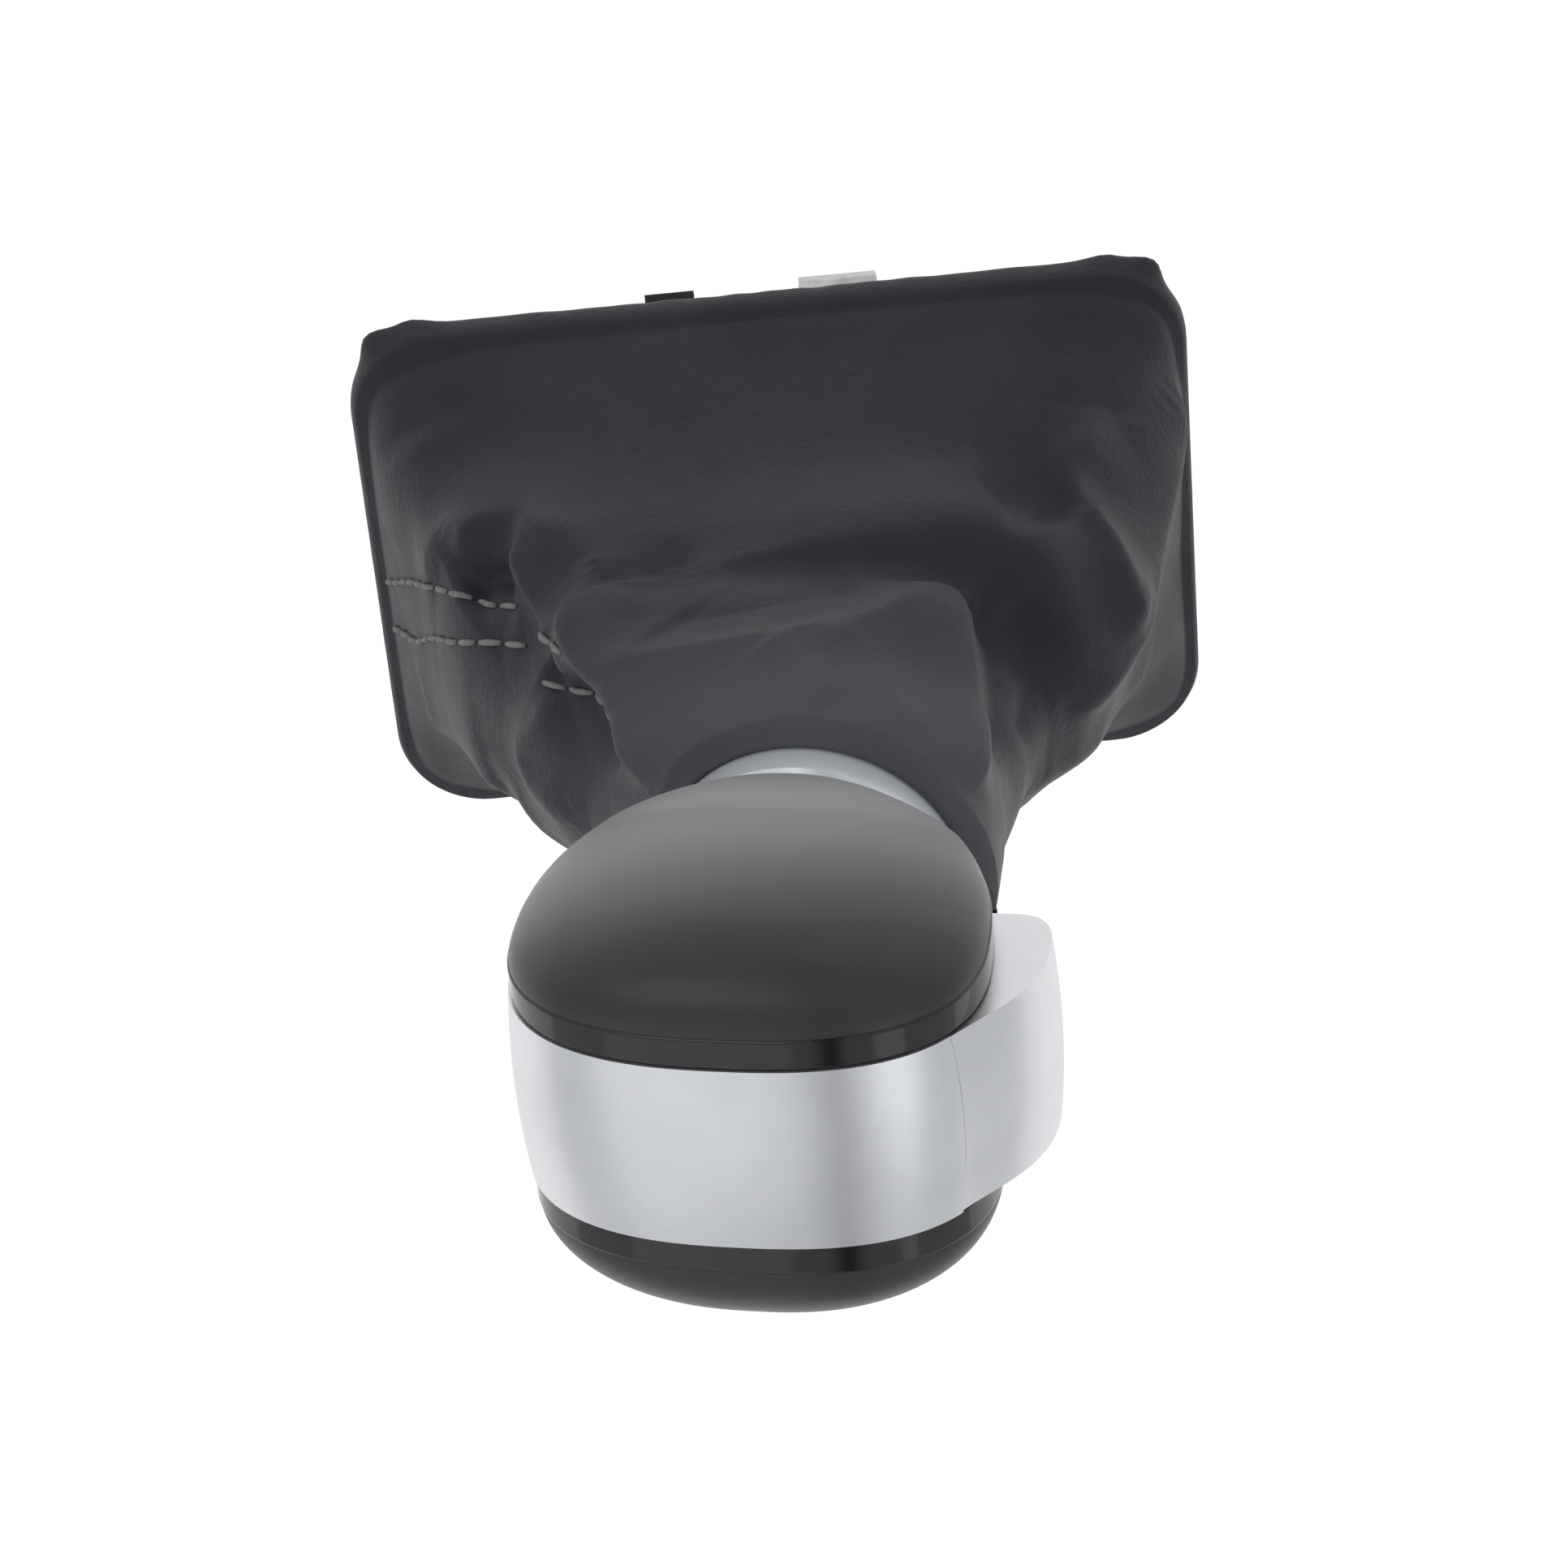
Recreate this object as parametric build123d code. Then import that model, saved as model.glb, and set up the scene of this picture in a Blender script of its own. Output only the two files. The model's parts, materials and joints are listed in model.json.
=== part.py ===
"""Selector knob of an automatic gear lever, with its leather gaiter and console frame.

Millimetres. The origin is the centre of the frame's seat on the console, +Z up, +X to the button's side
and +Y to the driver. The knob's pieces are drawn upright about their own axis, with zero at the foot of
the knob, and then leaned over as one, as the slack gaiter lets them.
"""
import math
import os

from build123d import *

# Console frame
FRAME_WIDTH = 116.0
FRAME_DEPTH = 75.0
FRAME_CORNER = 11.0
FLANGE_WIDTH = 5.6
FLANGE_THICK = 2.5
SKIRT_THICK = 2.0
SKIRT_DROP = 8.0
HOOK_WIDTH = 7.0
HOOK_DROP = 3.0
HOOK_BARB = 1.6
HOOK_X = -13.0
CLIP_WIDTH = 11.0
CLIP_X = 11.0
CLIP_SHEET = 0.6
CLIP_BULGE = 1.5
CLIP_LEG = 8.0
TONGUE_DROP = 2.4

# Leather gaiter
LEATHER = 1.2
HEM_LIP = 3.3
MOUTH_GAP = 0.3
MOUTH_LIP_LENGTH = 12.0
MOUTH_FLARE = 0.9
MOUTH_BELL = 2.2
MOUTH_DROP = 1.0
GAITER_SECTION_POINTS = 48

# Pose of the knob on the frame
KNOB_HEIGHT = 94.0
KNOB_SHIFT = -1.2
KNOB_LEAN = 13.0

# Knob outline, seen along Y
KNOB_HALF_WIDTH = 30.0
KNOB_WIDEST = 35.5
KNOB_CROWN = 22.0
OUTLINE_POWER = 2.5
OUTLINE_POINTS = 32
NECK_TRIM_RADIUS = 18.3
NECK_TRIM_FOOT = 3.5
NECK_TRIM_SLOPE = 48.0

# Knob layers, stacked along Y
BAND_HALF = 13.0
BAND_BARREL = 0.7
BAND_WALL = 2.2
BAND_LEFT_END = 20.3
BEZEL_THICK = 4.2
BEZEL_INSET = 1.0
BEZEL_RING = 3.6
BEZEL_EDGE = 0.4
COVER_INSET = 1.2
COVER_WALL = 2.4
REAR_DOME = 8.5
FRONT_DOME = 12.0
DOME_CENTRE = 42.0
DOME_POWER = 2.0
DOME_STEPS = (1.0, 0.97, 0.9, 0.79, 0.65, 0.49, 0.33, 0.17, 0.06)
PEG_RADIUS = 1.8
PEG_DEPTH = 5.0
PEG_PLACES = ((-19.5, 26.0), (-4.0, 48.0), (16.0, 18.0))
FIT_GAP = 0.1

# Release button and its mechanism
BUTTON_TRAVEL = 4.0
BUTTON_REACH = 36.0
BUTTON_SPLIT = 48.0
BUTTON_MIDDLE = 29.0
BUTTON_REAR = 22.0
BUTTON_CORNER = 5.0
BUTTON_INNER = 23.5
BUTTON_WALL = 2.0
BUTTON_GAP = 0.2
SLIDER_HEIGHT = 31.0
SLIDER_HALF = 6.0
SLIDER_CHEEK = 7.8
SLIDER_STEP = 11.8
SLIDER_NOSE = 30.0
SLIDER_TAIL = 12.0
SLIDER_GAP = 0.2
PLUNGER_RADIUS = 4.5
PLUNGER_FOOT = 6.0
TONGUE_HALF_WIDTH = 3.6
TONGUE_HALF_THICK = 2.5
TONGUE_OVER_PIN = 1.1
PIN_RADIUS = 1.5
PIN_RISE = 2.0
PIN_GAP = 0.1
SPRING_WIRE = 0.8
SPRING_RADIUS = 3.4
SPRING_TURNS = 5.0
SPRING_LENGTH = 12.0

# Neck, collar and clamps
NECK_RADIUS = 16.0
NECK_DROP = 18.0
SLEEVE_RADIUS = 11.0
SLEEVE_BORE = 7.0
SLEEVE_LENGTH = 56.0
SLEEVE_SLOT = 1.6
SLEEVE_SLOT_LENGTH = 14.0
CLAMP_SHEET = 0.8
CLAMP_WIDTH = 7.0
CLAMP_EAR = 4.0
COLLAR_RADIUS = 20.0
COLLAR_WALL = 1.4
COLLAR_TOP = 3.8
COLLAR_CHAMFER = 1.6
COLLAR_DROP = 13.0
CARRIER_FLANGE = 1.5
CARRIER_TOP = -1.0
MOUTH_CLAMP_SHEET = 0.7
MOUTH_CLAMP_WIDTH = 4.0
MOUTH_CLAMP_DROP = 9.5
SCREW_RADIUS = 1.5
SCREW_HEAD = 2.7
SCREW_HEAD_HEIGHT = 1.8
SCREW_REACH = 9.0
SCREW_PLACES = ((-14.0, 13.0), (14.0, 13.0), (-15.0, 44.5), (11.0, 46.5))

# Sizes that follow from the ones above
OPENING_WIDTH = FRAME_WIDTH - 2 * FLANGE_WIDTH
OPENING_DEPTH = FRAME_DEPTH - 2 * FLANGE_WIDTH
OPENING_CORNER = FRAME_CORNER - FLANGE_WIDTH
HEM_TOP = 2 * LEATHER + FLANGE_THICK
BEZEL_TOP = BAND_HALF + BEZEL_THICK
CORE_INSET = BAND_WALL + FIT_GAP
SLIDER_LOW = SLIDER_HEIGHT - SLIDER_HALF
SLIDER_HIGH = SLIDER_HEIGHT + SLIDER_HALF
PIN_HEIGHT = SLIDER_HEIGHT + PIN_RISE
CHAMBER_FLOOR = SLIDER_LOW - SLIDER_GAP
CHAMBER_END = -(SLIDER_TAIL + BUTTON_TRAVEL + SLIDER_GAP)
SPRING_SEAT = -(SLIDER_TAIL + SPRING_LENGTH)
COIL_LENGTH = SPRING_LENGTH - SPRING_WIRE - 2 * FIT_GAP
MOUTH_RADIUS = COLLAR_RADIUS + MOUTH_GAP + LEATHER
BELL_RADIUS = MOUTH_RADIUS + MOUTH_FLARE + MOUTH_BELL
BIG = 200.0

LEVER = Location((KNOB_SHIFT, 0, KNOB_HEIGHT)) * Location((0, 0, 0), (0, -KNOB_LEAN, 0))


def signed_power(value, power):
    """A power that keeps the sign, for the superellipse formula."""
    return math.copysign(abs(value) ** power, value)


def block(x_range, y_range, z_range):
    """A box between two limits on each axis."""
    size = [high - low for low, high in (x_range, y_range, z_range)]
    middle = [(high + low) / 2 for low, high in (x_range, y_range, z_range)]
    return Location(middle) * Box(*size)


def rod_y(x, z, radius, y_low, y_high):
    """A round rod along Y."""
    turned = Location((x, (y_low + y_high) / 2, z), (90, 0, 0))
    return turned * Cylinder(radius, y_high - y_low)


def rod_x(z, radius, x_low, x_high):
    """A round rod along X, in the middle plane."""
    turned = Location(((x_low + x_high) / 2, 0, z), (0, 90, 0))
    return turned * Cylinder(radius, x_high - x_low)


def rod_z(radius, z_low, z_high):
    """A round rod about the knob's axis."""
    return Location((0, 0, (z_low + z_high) / 2)) * Cylinder(radius, z_high - z_low)


def tube(outer, inner, z_low, z_high):
    """A plain tube about the knob's axis."""
    ring = Circle(outer) - Circle(inner)
    return Location((0, 0, z_low)) * extrude(ring, z_high - z_low)


def rounded_plate(width, depth, corner, z_low, z_high):
    """A rounded rectangle about the origin, drawn up between two heights."""
    return Location((0, 0, z_low)) * extrude(RectangleRounded(width, depth, corner), z_high - z_low)


# Knob forms

def outline_points(inset):
    """The knob's egg outline as (x, z): a superellipse, longer below its widest place than above."""
    half = KNOB_HALF_WIDTH - inset
    points = []
    for step in range(OUTLINE_POINTS):
        angle = 2 * math.pi * step / OUTLINE_POINTS
        tall = KNOB_CROWN if math.sin(angle) >= 0 else KNOB_WIDEST
        x = half * signed_power(math.cos(angle), 2 / OUTLINE_POWER)
        z = KNOB_WIDEST + (tall - inset) * signed_power(math.sin(angle), 2 / OUTLINE_POWER)
        points.append((x, z))
    return points


def outline_x(z, inset):
    """Half width of the egg outline at a height above its widest place."""
    share = (z - KNOB_WIDEST) / (KNOB_CROWN - inset)
    return (KNOB_HALF_WIDTH - inset) * (1 - share ** OUTLINE_POWER) ** (1 / OUTLINE_POWER)


def outline_face(y, inset, scale=1.0):
    """The outline at one layer of the knob, shrunk towards the dome's crown."""
    shrunk = [(x * scale, DOME_CENTRE + (z - DOME_CENTRE) * scale) for x, z in outline_points(inset)]
    return Plane.XZ.offset(-y) * make_face(Spline(*shrunk, periodic=True))


def outline_slab(inset, y_low, y_high):
    """A straight slab with the outline, between two layers."""
    return extrude(outline_face(y_low, inset), y_high - y_low, dir=(0, 1, 0))


def neck_trim():
    """The trumpet that the knob's foot is turned down to."""
    rise = (BIG - NECK_TRIM_RADIUS) * math.tan(math.radians(90 - NECK_TRIM_SLOPE))
    profile = Polyline(
        (0, -BIG),
        (NECK_TRIM_RADIUS, -BIG),
        (NECK_TRIM_RADIUS, NECK_TRIM_FOOT),
        (BIG, NECK_TRIM_FOOT + rise),
        (0, NECK_TRIM_FOOT + rise),
        close=True,
    )
    return revolve(Plane.XZ * make_face(profile), Axis.Z)


def dome(seat, height, inset, side):
    """A pebble-shaped crown on the outline: layers that shrink along an ellipse, on one side of the knob."""
    layers = []
    for scale in DOME_STEPS:
        rise = height * (1 - scale ** DOME_POWER) ** (1 / DOME_POWER)
        layers.append(outline_face(side * (seat + rise), inset, scale))
    return loft(layers)


# Console side

def skirt_hook(x):
    """A snap hook below the skirt: a tongue with a sloped barb on its outer face."""
    face = OPENING_DEPTH / 2 + SKIRT_THICK
    foot = -SKIRT_DROP - HOOK_DROP
    profile = Polyline(
        (face - SKIRT_THICK, -SKIRT_DROP),
        (face - SKIRT_THICK, foot),
        (face - SKIRT_THICK / 2, foot),
        (face + HOOK_BARB, foot + HOOK_DROP),
        (face, foot + HOOK_DROP + HOOK_BARB / 2),
        (face, -SKIRT_DROP + HOOK_BARB),
        (face - SKIRT_THICK, -SKIRT_DROP + HOOK_BARB),
        close=True,
    )
    return Location((x - HOOK_WIDTH / 2, 0, 0)) * extrude(Plane.YZ * make_face(profile), HOOK_WIDTH)


def clip_tongue():
    """The plain tongue of the skirt that a steel clip is pushed over."""
    face = OPENING_DEPTH / 2 + SKIRT_THICK
    foot = -SKIRT_DROP - TONGUE_DROP
    return block(
        (CLIP_X - CLIP_WIDTH / 2, CLIP_X + CLIP_WIDTH / 2),
        (face - SKIRT_THICK, face),
        (foot, -SKIRT_DROP),
    )


def make_gaiter_frame():
    """Flange, locating skirt, snap hooks and clip tongues, moulded in one."""
    flange = rounded_plate(FRAME_WIDTH, FRAME_DEPTH, FRAME_CORNER, LEATHER, LEATHER + FLANGE_THICK)
    skirt = rounded_plate(
        OPENING_WIDTH + 2 * SKIRT_THICK,
        OPENING_DEPTH + 2 * SKIRT_THICK,
        OPENING_CORNER + SKIRT_THICK,
        -SKIRT_DROP,
        LEATHER,
    )
    opening = rounded_plate(OPENING_WIDTH, OPENING_DEPTH, OPENING_CORNER, -BIG, BIG)
    frame = flange + skirt - opening
    for grip in (skirt_hook(HOOK_X), clip_tongue()):
        frame += grip
        frame += mirror(grip, Plane.XZ)
    return frame


def make_frame_clips():
    """Sprung steel clips, bent from sheet over the skirt's tongues, bulged on the outside."""
    face = OPENING_DEPTH / 2 + SKIRT_THICK
    inner = face - SKIRT_THICK
    foot = -SKIRT_DROP - TONGUE_DROP
    top = foot + CLIP_LEG
    outside = Polyline(
        (inner - CLIP_SHEET, top),
        (inner - CLIP_SHEET, foot - CLIP_SHEET),
        (face + CLIP_SHEET, foot - CLIP_SHEET),
        (face + CLIP_BULGE + CLIP_SHEET, foot + CLIP_LEG / 2),
        (face + CLIP_SHEET, top),
        (face, top),
        (face + CLIP_BULGE, foot + CLIP_LEG / 2),
        (face, foot + CLIP_SHEET),
        (face, foot),
        (inner, foot),
        (inner, top),
        close=True,
    )
    clip = Location((CLIP_X - CLIP_WIDTH / 2, 0, 0)) * extrude(Plane.YZ * make_face(outside), CLIP_WIDTH)
    return [clip, mirror(clip, Plane.XZ)]


# Gaiter: height as a share of the knob's, how far the leather still is from the mouth's bell towards the
# frame's edge, along X and along Y, and the squareness of its ring there
GAITER_STATIONS = (
    (0.046, 0.985, 0.975, 9.0),
    (0.096, 0.955, 0.880, 8.0),
    (0.170, 0.890, 0.700, 6.0),
    (0.277, 0.795, 0.490, 4.4),
    (0.383, 0.705, 0.325, 3.6),
    (0.489, 0.610, 0.260, 3.1),
    (0.564, 0.490, 0.170, 2.8),
    (0.638, 0.385, 0.130, 2.6),
    (0.713, 0.295, 0.220, 2.4),
    (0.787, 0.160, 0.110, 2.2),
    (0.872, 0.055, 0.000, 2.1),
)

# Folds: angle round the gaiter, height, half spread in degrees and in height, and how far it stands out
GAITER_FOLDS = (
    (150.0, 40.0, 12.0, 9.0, 4.5),
    (146.0, 50.0, 9.0, 7.0, -4.5),
    (138.0, 60.0, 10.0, 12.0, 3.5),
    (128.0, 58.0, 9.0, 10.0, -2.5),
    (60.0, 69.0, 70.0, 5.5, 2.2),
    (55.0, 58.0, 55.0, 5.0, -2.0),
    (45.0, 49.0, 45.0, 6.0, 2.6),
    (30.0, 37.0, 14.0, 10.0, -3.0),
    (8.0, 40.0, 12.0, 20.0, 2.5),
    (-10.0, 30.0, 10.0, 18.0, -2.5),
    (35.0, 80.0, 12.0, 10.0, 1.6),
    (170.0, 72.0, 12.0, 8.0, 2.5),
    (-90.0, 45.0, 40.0, 7.0, 2.5),
    (-90.0, 60.0, 40.0, 7.0, -2.0),
    (-130.0, 50.0, 14.0, 14.0, 2.5),
    (-50.0, 52.0, 14.0, 14.0, 2.5),
)


def fold_height(angle, height):
    """How far the folds push the leather out at one place."""
    total = 0.0
    for middle, level, spread, rise, depth in GAITER_FOLDS:
        turn = (angle - middle + 180) % 360 - 180
        total += depth * math.exp(-((turn / spread) ** 2) - ((height - level) / rise) ** 2)
    return total


def gaiter_section(station, inset):
    """One closed ring of the leather at its height, with the folds on it."""
    share, wide, deep, squareness = station
    height = share * KNOB_HEIGHT
    half_width = BELL_RADIUS + wide * (FRAME_WIDTH / 2 - BELL_RADIUS)
    half_depth = BELL_RADIUS + deep * (FRAME_DEPTH / 2 - BELL_RADIUS)
    points = []
    for step in range(GAITER_SECTION_POINTS):
        angle = 2 * math.pi * step / GAITER_SECTION_POINTS
        c, s = math.cos(angle), math.sin(angle)
        radius = (abs(c / half_width) ** squareness + abs(s / half_depth) ** squareness) ** (-1 / squareness)
        radius += fold_height(math.degrees(angle), height) - inset
        points.append((radius * c, radius * s))
    bend = max(0.0, 2 * share - 1) ** 2
    place = Location((bend * KNOB_SHIFT, 0, height)) * Location((0, 0, 0), (0, -bend * KNOB_LEAN, 0))
    return place * make_face(Spline(*points, periodic=True))


def gaiter_wall(inset):
    """The leather from the frame to the collar, as a solid bounded by its outer or inner face."""
    rings = [gaiter_section(station, inset) for station in GAITER_STATIONS]
    for drop, radius in ((MOUTH_LIP_LENGTH / 2, BELL_RADIUS), (MOUTH_DROP, BELL_RADIUS - MOUTH_BELL)):
        mouth = Circle(radius - inset).edge()
        shares = [step / GAITER_SECTION_POINTS for step in range(GAITER_SECTION_POINTS)]
        turned = Spline(*[mouth.position_at(share) for share in shares], periodic=True)
        rings.append(LEVER * Location((0, 0, -drop)) * make_face(turned))
    return loft(rings)


def make_gaiter():
    """The leather: wall with folds, hem wrapped round the flange, and mouth turned in at the collar."""
    hem = rounded_plate(
        FRAME_WIDTH + 2 * LEATHER, FRAME_DEPTH + 2 * LEATHER, FRAME_CORNER + LEATHER, 0, HEM_TOP
    )
    hem -= rounded_plate(FRAME_WIDTH, FRAME_DEPTH, FRAME_CORNER, LEATHER, LEATHER + FLANGE_THICK)
    hem -= rounded_plate(
        FRAME_WIDTH - 2 * HEM_LIP, FRAME_DEPTH - 2 * HEM_LIP, FRAME_CORNER - HEM_LIP, -BIG, BIG
    )
    wall = gaiter_wall(0) - gaiter_wall(LEATHER)
    lip = LEVER * tube(MOUTH_RADIUS, COLLAR_RADIUS + MOUTH_GAP, -MOUTH_LIP_LENGTH, -MOUTH_DROP)
    return wall + hem + lip


# Lever

def core_body():
    """Both halves of the core in one: head under the band, cheeks beside it and neck, with its hollows."""
    head = outline_slab(CORE_INSET, -BAND_HALF, BAND_HALF)
    cheeks = outline_slab(BEZEL_INSET, -BAND_HALF, BAND_HALF)
    cheeks -= block((-BIG, 0), (-BIG, BIG), (BAND_LEFT_END - FIT_GAP, BIG))
    cheeks -= block((-FIT_GAP, BIG), (-BIG, BIG), (BUTTON_REAR - BUTTON_GAP, BIG))
    body = (head + cheeks) & neck_trim()
    neck = rod_z(NECK_RADIUS, -NECK_DROP, NECK_TRIM_FOOT)
    body += neck & block((-BIG, BIG), (-BAND_HALF, BAND_HALF), (-BIG, BIG))
    body += neck & block((-BIG, BIG), (-BIG, BIG), (-BIG, BEZEL_INSET - FIT_GAP))
    pocket = BUTTON_INNER - BUTTON_TRAVEL - BUTTON_GAP
    body -= block((pocket, BIG), (-BIG, BIG), (BUTTON_REAR - BUTTON_GAP, BUTTON_SPLIT + BUTTON_GAP))
    chamber = SLIDER_CHEEK + SLIDER_GAP
    body -= block(
        (CHAMBER_END, SLIDER_STEP + FIT_GAP), (-chamber, chamber), (CHAMBER_FLOOR, SLIDER_HIGH + SLIDER_GAP)
    )
    throat = SLIDER_HALF + SLIDER_GAP
    body -= block((SLIDER_STEP, BIG), (-throat, throat), (CHAMBER_FLOOR, SLIDER_HIGH + SLIDER_GAP))
    body -= rod_x(SLIDER_HEIGHT, SPRING_RADIUS + SPRING_WIRE, SPRING_SEAT, CHAMBER_END)
    body -= rod_z(PLUNGER_RADIUS + FIT_GAP, -FIT_GAP, CHAMBER_FLOOR + FIT_GAP)
    body -= rod_z(SLEEVE_RADIUS, -NECK_DROP, 0)
    body -= rod_y(0, PIN_HEIGHT, PIN_RADIUS + SLIDER_GAP, -BAND_HALF, BAND_HALF)
    for x, z in PEG_PLACES:
        for side in (-1, 1):
            low, high = sorted((side * BAND_HALF, side * (BAND_HALF - PEG_DEPTH - FIT_GAP)))
            body -= rod_y(x, z, PEG_RADIUS + FIT_GAP, low, high)
    for x, z in SCREW_PLACES:
        body -= rod_y(x, z, SCREW_RADIUS, -BAND_HALF, SCREW_REACH)
        body -= rod_y(x, z, SCREW_HEAD + FIT_GAP, -BAND_HALF, -BAND_HALF + SCREW_HEAD_HEIGHT)
    return body


def make_core_half(side):
    """One half of the core, split along the middle plane."""
    half = (0, BIG) if side > 0 else (-BIG, 0)
    return core_body() & block((-BIG, BIG), half, (-BIG, BIG))


def make_core_screws():
    """Four screws from the front half into the rear half."""
    screws = []
    for x, z in SCREW_PLACES:
        screw = rod_y(x, z, SCREW_RADIUS, -BAND_HALF + SCREW_HEAD_HEIGHT, SCREW_REACH)
        screw += rod_y(x, z, SCREW_HEAD, -BAND_HALF, -BAND_HALF + SCREW_HEAD_HEIGHT)
        screws.append(screw)
    return screws


def make_neck_sleeve():
    """Tube over the lever rod, with a slot across its foot for the clamp to close."""
    sleeve = tube(SLEEVE_RADIUS, SLEEVE_BORE, -SLEEVE_LENGTH, 0)
    foot = (-SLEEVE_LENGTH, -SLEEVE_LENGTH + SLEEVE_SLOT_LENGTH)
    return sleeve - block((-SLEEVE_SLOT / 2, SLEEVE_SLOT / 2), (-BIG, BIG), foot)


def make_neck_clamp():
    """One-ear clamp: a sheet ring with a pinched loop on one side."""
    inner = SLEEVE_RADIUS + FIT_GAP
    outer = inner + CLAMP_SHEET
    ear = Location((outer + CLAMP_EAR / 2 - CLAMP_SHEET, 0)) * Rectangle(CLAMP_EAR, CLAMP_EAR)
    hollow = Location((outer + CLAMP_EAR / 2 - 2 * CLAMP_SHEET, 0)) * Rectangle(
        CLAMP_EAR, CLAMP_EAR - 2 * CLAMP_SHEET
    )
    ring = Circle(outer) + ear - hollow - Circle(inner)
    low = -SLEEVE_LENGTH + SLEEVE_SLOT_LENGTH / 2 - CLAMP_WIDTH / 2
    return Location((0, 0, low)) * extrude(ring, CLAMP_WIDTH)


def make_collar_carrier():
    """Moulded ring between the neck and the bright collar, with a foot that the collar stands on."""
    body = tube(COLLAR_RADIUS - COLLAR_WALL - FIT_GAP, NECK_RADIUS + FIT_GAP, -COLLAR_DROP, CARRIER_TOP)
    foot = tube(COLLAR_RADIUS, NECK_RADIUS + FIT_GAP, -COLLAR_DROP - CARRIER_FLANGE, -COLLAR_DROP)
    return body + foot


def make_collar_ring():
    """Bright sleeve with a chamfered lip under the knob."""
    inner = COLLAR_RADIUS - COLLAR_WALL
    profile = Polyline(
        (inner, -COLLAR_DROP),
        (COLLAR_RADIUS, -COLLAR_DROP),
        (COLLAR_RADIUS, COLLAR_TOP - COLLAR_CHAMFER),
        (inner + FIT_GAP, COLLAR_TOP),
        (inner, COLLAR_TOP),
        close=True,
    )
    return revolve(Plane.XZ * make_face(profile), Axis.Z)


def make_gaiter_clamp():
    """Band round the gaiter's turned-in mouth."""
    inner = MOUTH_RADIUS + FIT_GAP
    low = -MOUTH_CLAMP_DROP
    return tube(inner + MOUTH_CLAMP_SHEET, inner, low, low + MOUTH_CLAMP_WIDTH)


def make_trim_band():
    """Silver arch, slightly barrelled, from the left foot over the crown to the button's split."""
    layers = [outline_face(-BAND_HALF, BAND_BARREL), outline_face(0, 0), outline_face(BAND_HALF, BAND_BARREL)]
    band = loft(layers) - outline_slab(BAND_WALL, -BIG, BIG)
    band -= block((-BIG, 0), (-BIG, BIG), (-BIG, BAND_LEFT_END))
    return band - block((-FIT_GAP, BIG), (-BIG, BIG), (-BIG, BUTTON_SPLIT))


def make_bezel(side):
    """Gloss ring beside the band."""
    ring = outline_slab(BEZEL_INSET, BAND_HALF, BEZEL_TOP)
    rims = ring.edges().filter_by(lambda edge: edge.is_closed)
    ring = fillet(rims, BEZEL_EDGE)
    ring -= outline_slab(BEZEL_INSET + BEZEL_RING, -BIG, BIG)
    ring = ring & neck_trim()
    return ring if side > 0 else mirror(ring, Plane.XZ)


def make_cover(side):
    """Soft-touch dome: a shell on the bezel, with pegs that press into the core."""
    height = REAR_DOME if side > 0 else FRONT_DOME
    outer = dome(BEZEL_TOP, height, COVER_INSET, side)
    hollow = dome(BEZEL_TOP, height - COVER_WALL, COVER_INSET + COVER_WALL, side)
    shell = (outer - hollow) & neck_trim()
    for x, z in PEG_PLACES:
        low, high = sorted((side * (BAND_HALF - PEG_DEPTH), side * (BEZEL_TOP + height)))
        peg = rod_y(x, z, PEG_RADIUS, low, high)
        skin = block((-BIG, BIG), (-BEZEL_TOP, BEZEL_TOP), (-BIG, BIG))
        shell += (peg & skin) + (peg & outer)
    return shell


# Button

def button_face(y, inset, open_side):
    """The button's outline at one layer: tangent to the band at the split, straight down the side."""
    split = (outline_x(BUTTON_SPLIT, inset), BUTTON_SPLIT - inset_gap(inset))
    share = (BUTTON_SPLIT - KNOB_WIDEST) / KNOB_CROWN
    across = split[0] / KNOB_HALF_WIDTH
    lean = (share / across) ** (OUTLINE_POWER - 1) * KNOB_HALF_WIDTH / KNOB_CROWN
    side = (BUTTON_REACH - inset, BUTTON_MIDDLE)
    rear = BUTTON_REAR + inset_gap(inset)
    heel = (BUTTON_REACH - inset - BUTTON_CORNER, rear)
    inner = BUTTON_INNER - open_side
    flank = Spline(split, side, tangents=((lean, -1), (0, -1)))
    turn = Spline(side, heel, tangents=((0, -1), (-1, 0)))
    rest = Polyline(heel, (inner, rear), (inner, split[1]), split)
    return Plane.XZ.offset(-y) * make_face([flank, turn, rest])


def inset_gap(inset):
    """Ends of the button: the running gap on the outside, the wall on the inside."""
    return BUTTON_GAP if inset <= BAND_BARREL else BUTTON_WALL


def make_release_button():
    """Silver cap with a socket for the slider's nose."""
    half = BAND_HALF - BUTTON_GAP
    cap = loft([button_face(-half, BAND_BARREL, 0), button_face(0, 0, 0), button_face(half, BAND_BARREL, 0)])
    inside = half - BUTTON_WALL
    hollow = extrude(button_face(-inside, BUTTON_WALL, BUTTON_WALL), 2 * inside, dir=(0, 1, 0))
    boss_half = SLIDER_HALF + BUTTON_WALL
    boss = block(
        (BUTTON_INNER + BUTTON_WALL, BIG),
        (-boss_half, boss_half),
        (SLIDER_LOW - BUTTON_WALL, SLIDER_HIGH + BUTTON_WALL),
    )
    socket = block((-BIG, SLIDER_NOSE), (-SLIDER_HALF, SLIDER_HALF), (SLIDER_LOW, SLIDER_HIGH))
    return cap - hollow + (cap & boss) - socket


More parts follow.
